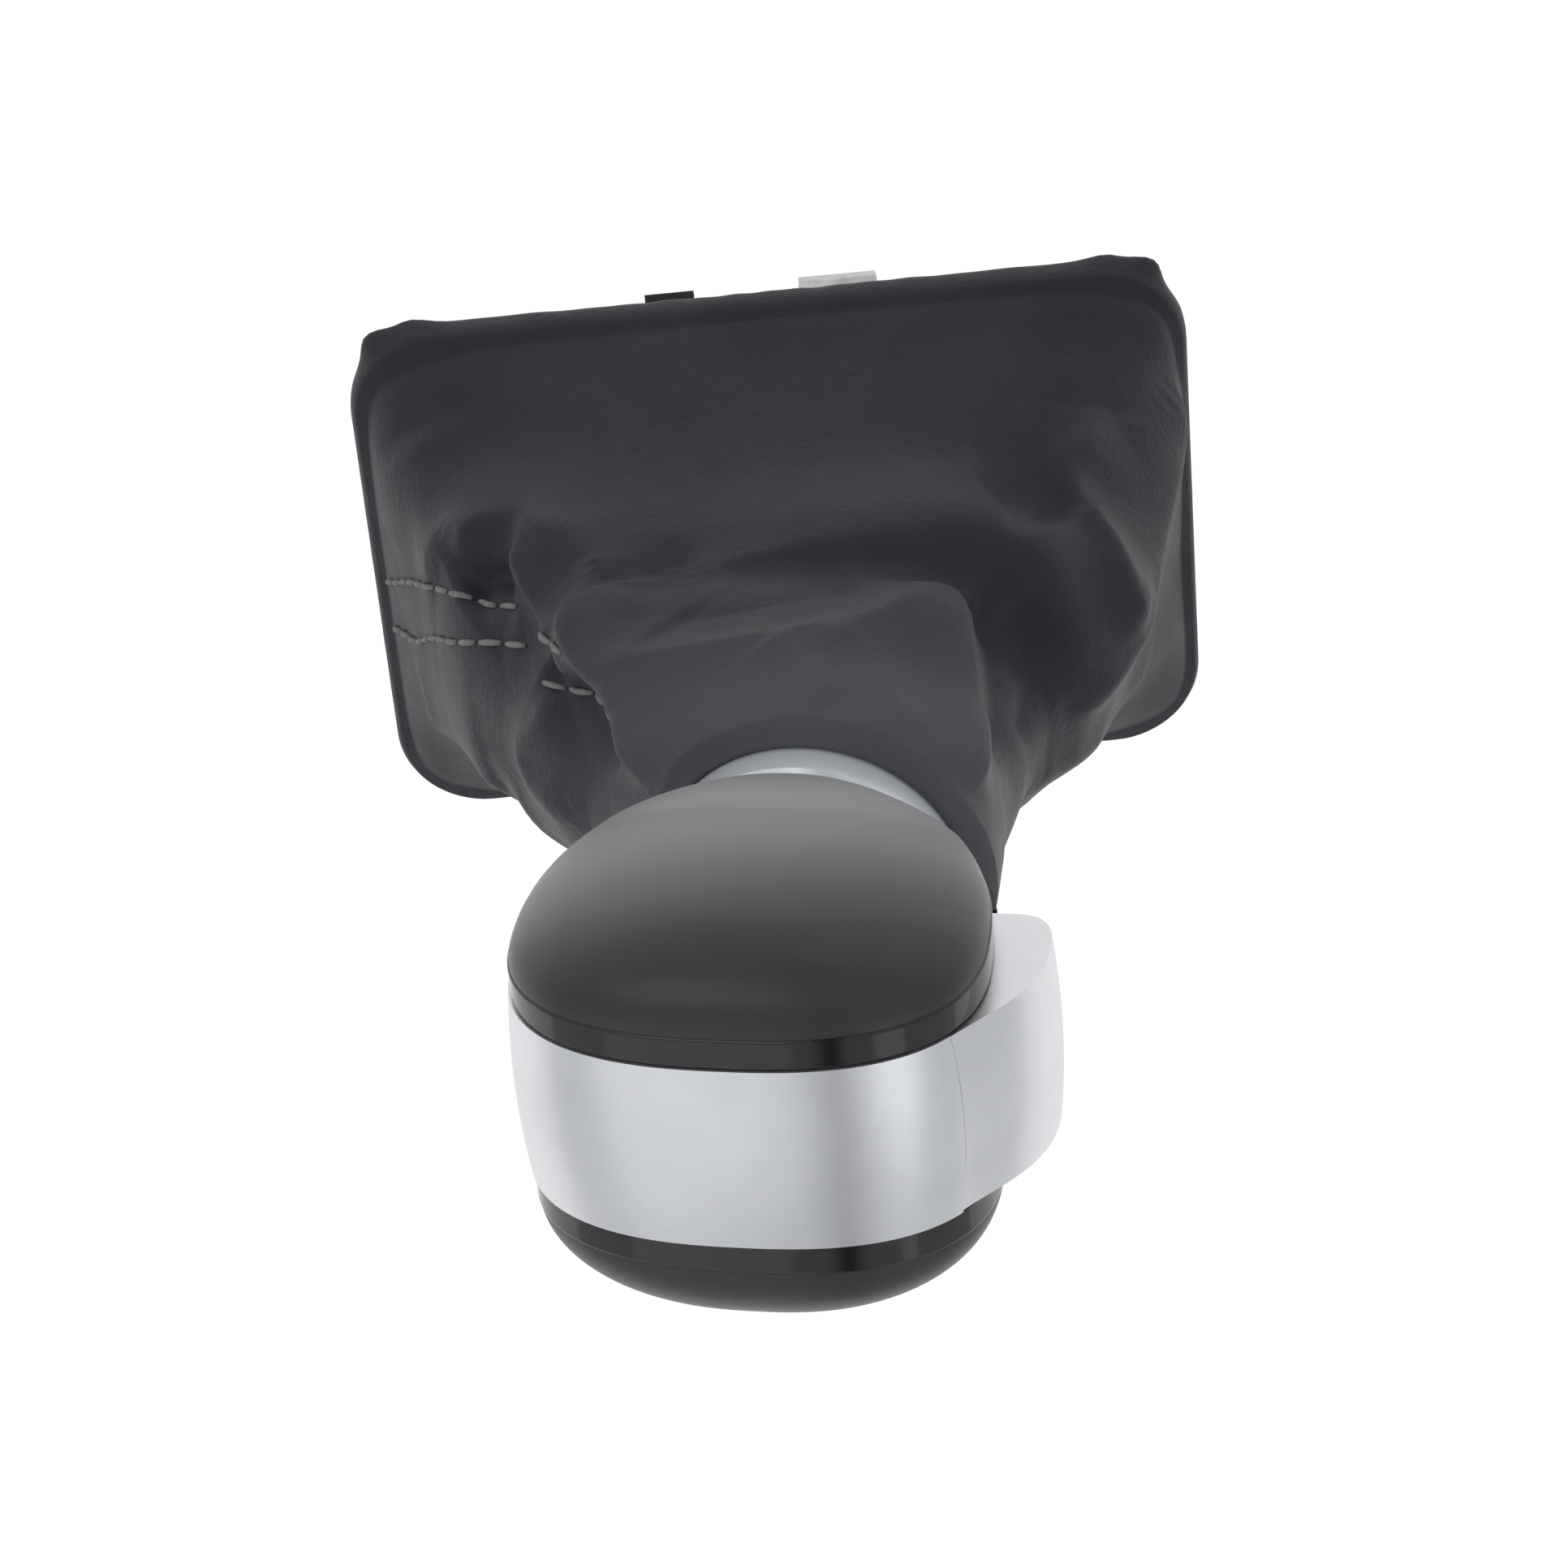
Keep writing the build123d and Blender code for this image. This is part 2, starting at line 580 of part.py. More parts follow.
def make_button_slider():
    """Block that carries the cap: wide cheeks with the inclined slots, and a nose for the cap's socket."""
    slider = block((-SLIDER_TAIL, SLIDER_STEP), (-SLIDER_CHEEK, SLIDER_CHEEK), (SLIDER_LOW, SLIDER_HIGH))
    slider += block((0, SLIDER_NOSE), (-SLIDER_HALF, SLIDER_HALF), (SLIDER_LOW, SLIDER_HIGH))
    gap = TONGUE_HALF_THICK + SLIDER_GAP
    window = TONGUE_HALF_WIDTH + SLIDER_GAP
    slider -= block((-window, window + BUTTON_TRAVEL), (-gap, gap), (-BIG, BIG))
    width = PIN_RADIUS + PIN_GAP
    run = Location((BUTTON_TRAVEL / 2, 0, PIN_HEIGHT - BUTTON_TRAVEL / 2), (0, 45, 0))
    reach = BUTTON_TRAVEL * math.sqrt(2) / 2
    slot = block((-reach, reach), (-BIG, BIG), (-width, width))
    slot += rod_y(-reach, 0, width, -BIG, BIG) + rod_y(reach, 0, width, -BIG, BIG)
    return slider - run * slot


def make_button_spring():
    """Return spring between the slider's tail and the core."""
    turns = Helix(COIL_LENGTH / SPRING_TURNS, COIL_LENGTH, SPRING_RADIUS)
    start = turns.edge().position_at(0)
    across = Plane(origin=start, z_dir=turns.edge().tangent_at(0))
    coil = sweep(across * Circle(SPRING_WIRE / 2), path=turns)
    return Location((-SLIDER_TAIL - SPRING_WIRE / 2 - FIT_GAP, 0, SLIDER_HEIGHT), (0, -90, 0)) * coil


# Plunger

def make_plunger():
    """Round rod with a flat tongue that stands between the slider's cheeks."""
    top = PIN_HEIGHT + PIN_RADIUS + TONGUE_OVER_PIN
    rod = rod_z(PLUNGER_RADIUS, PLUNGER_FOOT, CHAMBER_FLOOR)
    tongue = block(
        (-TONGUE_HALF_WIDTH, TONGUE_HALF_WIDTH),
        (-TONGUE_HALF_THICK, TONGUE_HALF_THICK),
        (CHAMBER_FLOOR, top),
    )
    return rod + tongue - rod_y(0, PIN_HEIGHT, PIN_RADIUS, -BIG, BIG)


def make_cross_pin():
    """Pin through the tongue and both inclined slots."""
    return rod_y(0, PIN_HEIGHT, PIN_RADIUS, -SLIDER_CHEEK, SLIDER_CHEEK)


CONSOLE_SIDE = {
    "gaiter_frame": make_gaiter_frame(),
    "frame_clips": make_frame_clips(),
    "gaiter": make_gaiter(),
}

KNOB = {
    "core_rear": make_core_half(1),
    "core_front": make_core_half(-1),
    "core_screws": make_core_screws(),
    "neck_sleeve": make_neck_sleeve(),
    "neck_clamp": make_neck_clamp(),
    "collar_carrier": make_collar_carrier(),
    "collar_ring": make_collar_ring(),
    "gaiter_clamp": make_gaiter_clamp(),
    "trim_band": make_trim_band(),
    "rear_bezel": make_bezel(1),
    "front_bezel": make_bezel(-1),
    "rear_cover": make_cover(1),
    "front_cover": make_cover(-1),
    "release_button": make_release_button(),
    "button_slider": make_button_slider(),
    "button_spring": make_button_spring(),
    "plunger": make_plunger(),
    "cross_pin": make_cross_pin(),
}

os.makedirs("parts", exist_ok=True)
for place, pieces in ((Location(), CONSOLE_SIDE), (LEVER, KNOB)):
    for name, shape in pieces.items():
        solids = shape if isinstance(shape, list) else [shape]
        export_step(place * Compound(solids), f"parts/{name}.step")
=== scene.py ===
"""Looks of a gear lever's selector knob and leather gaiter, on a pale studio floor.

Metres, in the frame of the solids: the origin is the centre of the gaiter frame's seat on the console,
+Z up, +X to the button's side and +Y to the driver. Left and right are as the camera sees them, with the
button on the right.
"""
import json
import math

import bpy
import numpy as np
from mathutils import Matrix, Vector
from mathutils.bvhtree import BVHTree


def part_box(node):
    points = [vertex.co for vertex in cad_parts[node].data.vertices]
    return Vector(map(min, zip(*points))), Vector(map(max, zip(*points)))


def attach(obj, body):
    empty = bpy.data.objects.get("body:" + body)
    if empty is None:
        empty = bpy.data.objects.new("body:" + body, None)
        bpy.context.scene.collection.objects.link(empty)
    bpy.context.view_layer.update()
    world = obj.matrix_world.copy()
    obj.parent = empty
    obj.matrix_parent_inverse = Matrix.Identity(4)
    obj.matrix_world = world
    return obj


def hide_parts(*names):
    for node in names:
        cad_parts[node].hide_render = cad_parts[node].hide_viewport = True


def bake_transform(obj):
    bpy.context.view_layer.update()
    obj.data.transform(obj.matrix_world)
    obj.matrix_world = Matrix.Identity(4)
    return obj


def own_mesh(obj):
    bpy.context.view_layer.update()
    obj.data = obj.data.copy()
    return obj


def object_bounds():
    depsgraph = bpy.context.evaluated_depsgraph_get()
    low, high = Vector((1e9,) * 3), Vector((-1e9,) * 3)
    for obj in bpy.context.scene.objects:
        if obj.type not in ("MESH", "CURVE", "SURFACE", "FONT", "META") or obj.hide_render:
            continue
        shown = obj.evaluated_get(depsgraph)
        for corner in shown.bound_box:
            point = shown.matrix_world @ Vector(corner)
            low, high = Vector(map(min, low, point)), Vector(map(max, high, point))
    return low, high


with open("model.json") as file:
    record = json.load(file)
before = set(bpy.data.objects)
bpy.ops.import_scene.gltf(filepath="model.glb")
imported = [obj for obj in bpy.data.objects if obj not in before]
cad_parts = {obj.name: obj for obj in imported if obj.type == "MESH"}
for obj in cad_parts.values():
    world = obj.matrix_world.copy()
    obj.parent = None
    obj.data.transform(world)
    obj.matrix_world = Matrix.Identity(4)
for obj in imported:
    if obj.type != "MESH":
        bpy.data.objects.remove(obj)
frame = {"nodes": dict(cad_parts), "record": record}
solid_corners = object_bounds()
mm = 0.001


# The gaiter frame is a ring moulded in black plastic, with a skirt and two hooks that snap into the console.
# Its faces come out of the mould matt, with a fine even grain.
def start_finish(name, colour, roughness, metallic=0.0):
    """A finish with one colour and one roughness, to which grain and wear are added."""
    finish = bpy.data.materials.new(name)
    finish.use_nodes = True
    shader = finish.node_tree.nodes["Principled BSDF"]
    shader.inputs["Base Color"].default_value = (*colour, 1.0)
    shader.inputs["Roughness"].default_value = roughness
    shader.inputs["Metallic"].default_value = metallic
    return finish


def add_node(finish, kind, values=None):
    """A node in a finish, with the given inputs set."""
    node = finish.node_tree.nodes.new(kind)
    for name, value in (values or {}).items():
        node.inputs[name].default_value = value
    return node


def join(finish, output, target):
    """A link from one node's output to another's input."""
    finish.node_tree.links.new(output, target)


def shader_of(finish):
    """The surface shader of a finish."""
    return finish.node_tree.nodes["Principled BSDF"]


def spread_noise(finish, size, detail=3.0):
    """Noise with lumps of about one size, fixed to the object."""
    place = add_node(finish, "ShaderNodeTexCoord")
    noise = add_node(finish, "ShaderNodeTexNoise", {"Scale": 1 / size, "Detail": detail})
    join(finish, place.outputs["Object"], noise.inputs["Vector"])
    return noise.outputs["Fac"]


def ramp_between(finish, factor, low, high, start=0.3, end=0.7):
    """A ramp from one colour to another, driven by a noise."""
    ramp = add_node(finish, "ShaderNodeValToRGB")
    ramp.color_ramp.elements[0].position = start
    ramp.color_ramp.elements[1].position = end
    ramp.color_ramp.elements[0].color = (*low, 1.0)
    ramp.color_ramp.elements[1].color = (*high, 1.0)
    join(finish, factor, ramp.inputs["Fac"])
    return ramp.outputs["Color"]


def mottle(finish, low, high, size):
    """Colour that drifts between two tones."""
    drift = ramp_between(finish, spread_noise(finish, size), low, high)
    join(finish, drift, shader_of(finish).inputs["Base Color"])


def grain(finish, height, depth):
    """Fine relief from a height signal."""
    bump = add_node(finish, "ShaderNodeBump", {"Distance": depth})
    join(finish, height, bump.inputs["Height"])
    join(finish, bump.outputs["Normal"], shader_of(finish).inputs["Normal"])
    return bump


def by_height(finish, low, high):
    """A signal that runs from nought to one between two heights."""
    place = add_node(finish, "ShaderNodeTexCoord")
    parts = add_node(finish, "ShaderNodeSeparateXYZ")
    share = add_node(finish, "ShaderNodeMapRange", {"From Min": low, "From Max": high})
    share.interpolation_type = "SMOOTHSTEP"
    join(finish, place.outputs["Object"], parts.inputs["Vector"])
    join(finish, parts.outputs["Z"], share.inputs["Value"])
    return share.outputs["Result"]


def laid_over(finish, under, colour, share):
    """A colour laid over another by a share."""
    mix = add_node(finish, "ShaderNodeMix")
    mix.data_type = "RGBA"
    mix.inputs[7].default_value = (*colour, 1.0)
    join(finish, share, mix.inputs[0])
    join(finish, under, mix.inputs[6])
    return mix.outputs[2]


def vary_roughness(finish, size, low, high):
    """Roughness that wanders, as on handled surfaces."""
    spread = add_node(finish, "ShaderNodeMapRange", {"To Min": low, "To Max": high})
    join(finish, spread_noise(finish, size), spread.inputs["Value"])
    join(finish, spread.outputs["Result"], shader_of(finish).inputs["Roughness"])


def dress(name, finish):
    """Puts a finish on a solid."""
    solid = frame["nodes"][name].data
    solid.materials.clear()
    solid.materials.append(finish)


frame_plastic = start_finish("frame_plastic", (0.03, 0.03, 0.034), 0.6)
mottle(frame_plastic, (0.024, 0.024, 0.027), (0.036, 0.036, 0.04), 9 * mm)
grain(frame_plastic, spread_noise(frame_plastic, 0.5 * mm), 0.03 * mm)
dress("gaiter_frame", frame_plastic)


# The frame's clips are bent from sprung steel strip and pushed over the skirt's tongues.
# They are zinc plated, so they are a dull light grey.
spring_steel = start_finish("spring_steel", (0.5, 0.5, 0.51), 0.42, metallic=0.85)
mottle(spring_steel, (0.4, 0.4, 0.41), (0.6, 0.6, 0.6), 2.5 * mm)
vary_roughness(spring_steel, 1.2 * mm, 0.32, 0.5)
dress("frame_clips", spring_steel)


# The gaiter is sewn from thin dark leather. Its hem is wrapped round the frame and glued, its mouth is turned
# in round the collar and clamped there, and the slack in between lies in folds.
leather_columns = 420
wall_rows = 186
wall_low = 5.6 * mm
wall_below_knob = 3.4 * mm
far_outside = 100 * mm
socket = next(mount for mount in frame["record"]["mounts"] if mount["name"] == "lever_socket")
lever_down = Vector(socket["axis"])
knob_foot = Vector(socket["pos_m"]) - lever_down * socket["dims"]["length_mm"] * mm / 2
lever_lean = math.atan2(lever_down.x, -lever_down.z)
lever_across = Vector((math.cos(lever_lean), 0, math.sin(lever_lean)))
driver_way = Vector((0, 1, 0))
wall_high = knob_foot.z - wall_below_knob
wall_heights = np.linspace(wall_low, wall_high, wall_rows)
leather_angles = np.linspace(0, 2 * math.pi, leather_columns, endpoint=False)
leather_skin = BVHTree.FromObject(frame["nodes"]["gaiter"], bpy.context.evaluated_depsgraph_get())


def leather_ring(height):
    """Points on the outside of the leather at one height: level at the frame, leaned over at the knob."""
    bend = max(0.0, 2 * height / knob_foot.z - 1) ** 2
    across = Vector((math.cos(lever_lean * bend), 0, math.sin(lever_lean * bend)))
    centre = Vector((bend * knob_foot.x, 0, height))
    ring = []
    for angle in leather_angles:
        outward = across * math.cos(angle) + driver_way * math.sin(angle)
        ring.append(leather_skin.ray_cast(centre + outward * far_outside, -outward)[0])
    return ring


def relaxed(grid, passes):
    """The wall with its small unevenness pulled out."""
    for _ in range(passes):
        grid = (np.roll(grid, 1, 1) + 2 * grid + np.roll(grid, -1, 1)) / 4
        grid[1:-1] = (grid[:-2] + 2 * grid[1:-1] + grid[2:]) / 4
    return grid


def facing(grid):
    """Outward directions of a wall."""
    outward = np.cross(np.roll(grid, -1, 1) - np.roll(grid, 1, 1), np.gradient(grid, axis=0))
    return outward / np.linalg.norm(outward, axis=2, keepdims=True)


def on_wall(grid, places):
    """Values of a grid at places given as an angle in degrees and a height in millimetres."""
    column = places[:, 0] % 360 / 360 * leather_columns
    row = (places[:, 1] * mm - wall_low) / (wall_high - wall_low) * (wall_rows - 1)
    row = np.clip(row, 0, wall_rows - 1.001)
    left = np.floor(column).astype(int)
    low = np.floor(row).astype(int)
    u = (column - left)[:, None]
    v = (row - low)[:, None]
    right = (left + 1) % leather_columns
    left = left % leather_columns
    below = grid[low, left] * (1 - u) + grid[low, right] * u
    above = grid[low + 1, left] * (1 - u) + grid[low + 1, right] * u
    return below * (1 - v) + above * v


def drawn_through(points, steps=12):
    """A smooth line through a few places."""
    ends = np.array([points[0], *points, points[-1]], float)
    share = np.linspace(0, 1, steps, endpoint=False)[:, None]
    line = []
    for a, b, c, d in zip(ends, ends[1:], ends[2:], ends[3:]):
        bow = (2 * a - 5 * b + 4 * c - d) * share**2 + (3 * b - a - 3 * c + d) * share**3
        line.append(b + ((c - a) * share + bow) / 2)
    return np.vstack([*line, ends[-1:]])


# How the slack is drawn in, by height in millimetres: share of the width that is left, sway to the left in
# millimetres, share of the depth left to the front, and how much further its two corners there are drawn in
drawn_in = np.array(
    (
        (5.6, 1.0, 0.0, 1.0, 0.0),
        (10.0, 1.0, 0.0, 0.96, 0.06),
        (16.0, 1.0, 0.0, 0.9, 0.14),
        (26.0, 1.0, 0.0, 0.82, 0.24),
        (36.0, 1.0, 0.2, 0.79, 0.3),
        (46.0, 0.99, 0.6, 0.77, 0.34),
        (53.0, 0.97, 1.2, 0.78, 0.34),
        (60.0, 0.93, 2.3, 0.8, 0.3),
        (67.0, 0.915, 2.3, 0.81, 0.22),
        (74.0, 0.94, 1.4, 0.88, 0.12),
        (82.0, 0.97, 0.5, 0.98, 0.0),
        (100.0, 1.0, 0.0, 1.0, 0.0),
    )
)


def draw_in(grid):
    """The wall with its slack drawn in to the neck and to the front."""
    for row, height in zip(grid, wall_heights / mm):
        side, sway, front, corners = (np.interp(height, drawn_in[:, 0], column) for column in drawn_in.T[1:])
        out = row[:, 0] / np.abs(row[:, 0]).max()
        row[:, 0] = row[:, 0] * side - sway * mm
        row[:, 1] *= np.where(row[:, 1] < 0, front * (1 - corners * out**4), 1.0)
    return grid


skin_passes = 3
slack_passes = 120
eased_from = 8
eased_over = 16
skin_wall = relaxed(np.array([leather_ring(height) for height in wall_heights]), skin_passes)
eased = np.clip((wall_heights / mm - eased_from) / eased_over, 0, 1)[:, None, None]
taut_wall = draw_in(skin_wall * (1 - eased) + relaxed(skin_wall.copy(), slack_passes) * eased)
taut_facing = facing(taut_wall)
wall_shift = np.zeros_like(taut_wall)
wall_crest = np.zeros(taut_wall.shape[:2])
fold_reach = 5.0
fold_tip = 0.3
fold_fade = 0.18


def lay_fold(points, rise, left, right, roll=0.0):
    """Lifts a crest, or sinks a groove, along a line. Left and right are the reach to each side of the way
    that the line runs, seen from outside, and roll lays the crest over to its right."""
    places = drawn_through(points)
    path = on_wall(taut_wall, places)
    out = on_wall(taut_facing, places)
    along = np.gradient(path, axis=0)
    side = np.cross(out, along)
    side /= np.linalg.norm(side, axis=1, keepdims=True)
    margin = fold_reach * max(left, right) * mm
    near = ((taut_wall > path.min(0) - margin) & (taut_wall < path.max(0) + margin)).all(2)
    spots = taut_wall[near]
    offsets = spots[:, None, :] - path[None, :, :]
    gaps = np.linalg.norm(offsets, axis=2)
    nearest = gaps.argmin(1)
    gap = gaps.min(1)
    leaning = (offsets[np.arange(len(spots)), nearest] * side[nearest]).sum(1)
    reach = np.where(leaning > 0, left, right) * mm
    crest = np.exp(fold_tip - np.sqrt(fold_tip**2 + (gap / reach) ** 2))
    share = nearest / (len(path) - 1)
    fade = np.clip(np.minimum(share, 1 - share) / fold_fade, 0, 1)
    crest *= fade * fade * (3 - 2 * fade)
    wall_shift[near] += crest[:, None] * (taut_facing[near] * rise - side[nearest] * roll) * mm
    wall_crest[near] += crest * rise


# Folds on the left: a pleat with a pocket under it, and two steps where the neck laps over the side
lay_fold(
    [(155, 39), (151, 36), (147, 36), (143, 38), (139, 42), (135, 47), (132, 53), (131, 61)],
    rise=3.6,
    left=6,
    right=2.4,
    roll=1.0,
)
lay_fold([(158, 41), (152, 42), (146, 45)], -4.2, 3.5, 3.5)
lay_fold([(143, 39), (146, 49), (146, 57), (145, 64), (151, 69)], 3.0, 6, 1.5, roll=1.6)
lay_fold([(135, 50), (138, 63), (139, 71), (138, 76), (141, 83), (150, 89)], 3.6, 8, 1.7, roll=1.8)
lay_fold([(150, 60), (149, 70), (152, 82)], -2.2, 3, 3)
lay_fold([(150, 14), (154, 21), (158, 27), (159, 35)], 1.2, 6, 6)
lay_fold([(131, 58), (126, 64), (119, 70)], 1.2, 4, 3)
lay_fold([(155, 68), (164, 66), (172, 63), (177, 67), (178, 78)], 2.4, 5, 5)

# Folds on the driver's side: the ridge round the neck, and the slack that sweeps over to the right
lay_fold([(141, 69), (125, 74), (104, 76), (82, 75), (60, 71), (42, 61)], 2.6, 2.2, 8)
lay_fold([(132, 66), (105, 69), (82, 67), (62, 63)], -1.6, 4, 3)
lay_fold([(44, 58), (41, 69), (36, 77), (32, 83), (27, 89)], 2.8, 2, 7)
lay_fold([(38, 60), (30, 61), (25, 65), (21, 71), (16, 79)], -2.6, 4, 4)
lay_fold(
    [(117, 55), (102, 56), (79, 54), (61, 53), (45, 51), (33, 51), (22, 54), (11, 56), (0, 61)], 2.4, 7, 4
)
lay_fold([(30, 56), (20, 59), (12, 62), (7, 69)], -1.8, 3, 3)
lay_fold([(95, 77), (88, 81), (77, 88)], 0.8, 3, 3)
lay_fold([(75, 74), (69, 78), (63, 84), (52, 89)], 1.0, 3, 3)

# Folds on the right: two long ones that run down to the frame, with a hollow beside the upper one
lay_fold([(29, 22), (32, 32), (25, 41), (16, 47), (7, 47)], 2.6, 5, 2)
lay_fold([(44, 42), (36, 41), (30, 44)], -2.2, 5, 5)
lay_fold([(24, 10), (15, 14), (10, 32), (5, 48), (-3, 57)], 2.4, 3, 7)

# Folds away from the driver, laid as the slack of the other side goes on
lay_fold([(-178, 56), (-150, 55), (-120, 49), (-90, 47), (-60, 49), (-30, 52)], 2.2, 5, 4)
lay_fold([(-150, 74), (-120, 68), (-90, 66), (-60, 69), (-35, 76)], 1.8, 5, 4)
lay_fold([(-140, 62), (-110, 58), (-75, 58), (-45, 62)], -1.6, 4, 4)
lay_fold([(-22, 20), (-26, 34), (-24, 50), (-16, 64)], 2.0, 5, 3)
lay_fold([(-160, 18), (-158, 34), (-162, 50)], 1.6, 5, 3)

wall = relaxed(taut_wall + wall_shift, 1)

hem_middle = 2.4 * mm
hem_wave = 0.05 * mm
ripple_height = 3
hem_profile = (
    *((3.2, 0.05), (1.6, 0.0), (0.6, 0.1), (0.15, 0.5), (0.0, 1.2)),
    *((0.0, 2.4), (0.1, 3.4), (0.5, 4.4), (1.0, 5.1)),
)
hem_line = np.array([leather_ring(hem_middle)])[0]
hem_out = hem_line - np.array((0, 0, hem_middle))
hem_out /= np.linalg.norm(hem_out, axis=1, keepdims=True)
ripple_waves = ((31, 0.0), (53, 1.3), (17, 0.6))
hem_ripple = sum(np.sin(waves * leather_angles + phase) for waves, phase in ripple_waves)
gather_height = 3.4
gather = np.zeros(leather_columns)
for corner_angle, spread, proud in ((146.0, 2.6, 2.6), (141.5, 1.6, 1.4), (34.5, 2.6, 2.4), (39.0, 1.6, 1.2)):
    gather += proud * mm * np.exp(-(((np.degrees(leather_angles) - corner_angle) / spread) ** 2))
hem_rows = []
for inward, height in hem_profile:
    waviness = hem_wave * hem_ripple * max(0.0, 1 - height / ripple_height)
    gathered = gather * max(0.0, 1 - height / gather_height)
    hem_row = hem_line - hem_out * (inward * mm - waviness - gathered)[:, None]
    hem_row[:, 2] = height * mm
    hem_rows.append(hem_row)

collar_low, collar_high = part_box("collar_ring")
collar_radius = (collar_high[1] - collar_low[1]) / 2
mouth_profile = ((1.9, 2.6), (1.1, 2.05), (0.6, 1.9), (0.25, 2.2), (0.15, 3.2), (0.25, 6.5), (0.35, 10.5))
mouth_turn = np.outer(np.cos(leather_angles), lever_across) + np.outer(np.sin(leather_angles), driver_way)
mouth_rows = []
for clear, drop in mouth_profile:
    centre = np.array(knob_foot + lever_down * drop * mm)
    radius = collar_radius + clear * mm
    mouth_rows.append(centre + radius * mouth_turn)

leather_grid = np.concatenate([np.array(hem_rows), wall, np.array(mouth_rows)])
leather_rows = len(leather_grid)
corner = np.arange(leather_rows * leather_columns).reshape(leather_rows, leather_columns)
beside = np.roll(corner, -1, 1)
leather_faces = np.stack([corner[:-1], beside[:-1], beside[1:], corner[1:]], -1).reshape(-1, 4)
leather_mesh = bpy.data.meshes.new("gaiter_leather")
leather_mesh.from_pydata(leather_grid.reshape(-1, 3).tolist(), [], leather_faces.tolist())
leather_mesh.shade_smooth()
# The fold heights are kept on the leather to paint the raised crests lighter, as wear and as a painted
# highlight.
wear_and_highlight = np.zeros((leather_rows, leather_columns))
wear_and_highlight[len(hem_rows):-len(mouth_rows)] = wall_crest
wear_and_highlight_layer = leather_mesh.attributes.new("wear_and_highlight", "FLOAT", "POINT")
wear_and_highlight_layer.data.foreach_set("value", wear_and_highlight.astype(np.float32).ravel())
leather = bpy.data.objects.new("gaiter_leather", leather_mesh)
bpy.context.scene.collection.objects.link(leather)

leather_finish = start_finish("gaiter_leather", (0.022, 0.0235, 0.029), 0.5)
shader_of(leather_finish).inputs["Specular IOR Level"].default_value = 0.2
shader_of(leather_finish).inputs["Sheen Weight"].default_value = 0.05
shader_of(leather_finish).inputs["Sheen Roughness"].default_value = 0.5
leather_tone = ramp_between(
    leather_finish, spread_noise(leather_finish, 14 * mm), (0.021, 0.0225, 0.0295), (0.028, 0.0295, 0.036)
)
# Raised fold crests are painted lighter: partly wear on the crests, partly a painted highlight where they
# meet the light.
crest_wear_and_highlight = add_node(leather_finish, "ShaderNodeAttribute")
crest_wear_and_highlight.attribute_name = "wear_and_highlight"
crest_wear_highlight_share = add_node(
    leather_finish, "ShaderNodeMapRange", {"From Min": 0.8, "From Max": 4.0, "To Max": 0.25}
)
join(leather_finish, crest_wear_and_highlight.outputs["Fac"], crest_wear_highlight_share.inputs["Value"])
crest_wear_highlight_tone = laid_over(leather_finish, leather_tone, (0.05, 0.052, 0.057), crest_wear_highlight_share.outputs["Result"])
# The leather is painted lighter towards the neck, a painted highlight where the neck turns to the light.
neck_highlight_share = by_height(leather_finish, 58 * mm, 92 * mm)
neck_highlight_tone = laid_over(leather_finish, crest_wear_highlight_tone, (0.085, 0.086, 0.094), neck_highlight_share)
join(leather_finish, neck_highlight_tone, shader_of(leather_finish).inputs["Base Color"])
pores = add_node(leather_finish, "ShaderNodeTexVoronoi", {"Scale": 1 / (0.9 * mm)})
leather_place = add_node(leather_finish, "ShaderNodeTexCoord")
join(leather_finish, leather_place.outputs["Object"], pores.inputs["Vector"])
grain(leather_finish, pores.outputs["Distance"], 0.06 * mm)
vary_roughness(leather_finish, 5 * mm, 0.46, 0.6)
leather_mesh.materials.append(leather_finish)

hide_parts("gaiter")
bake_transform(leather)


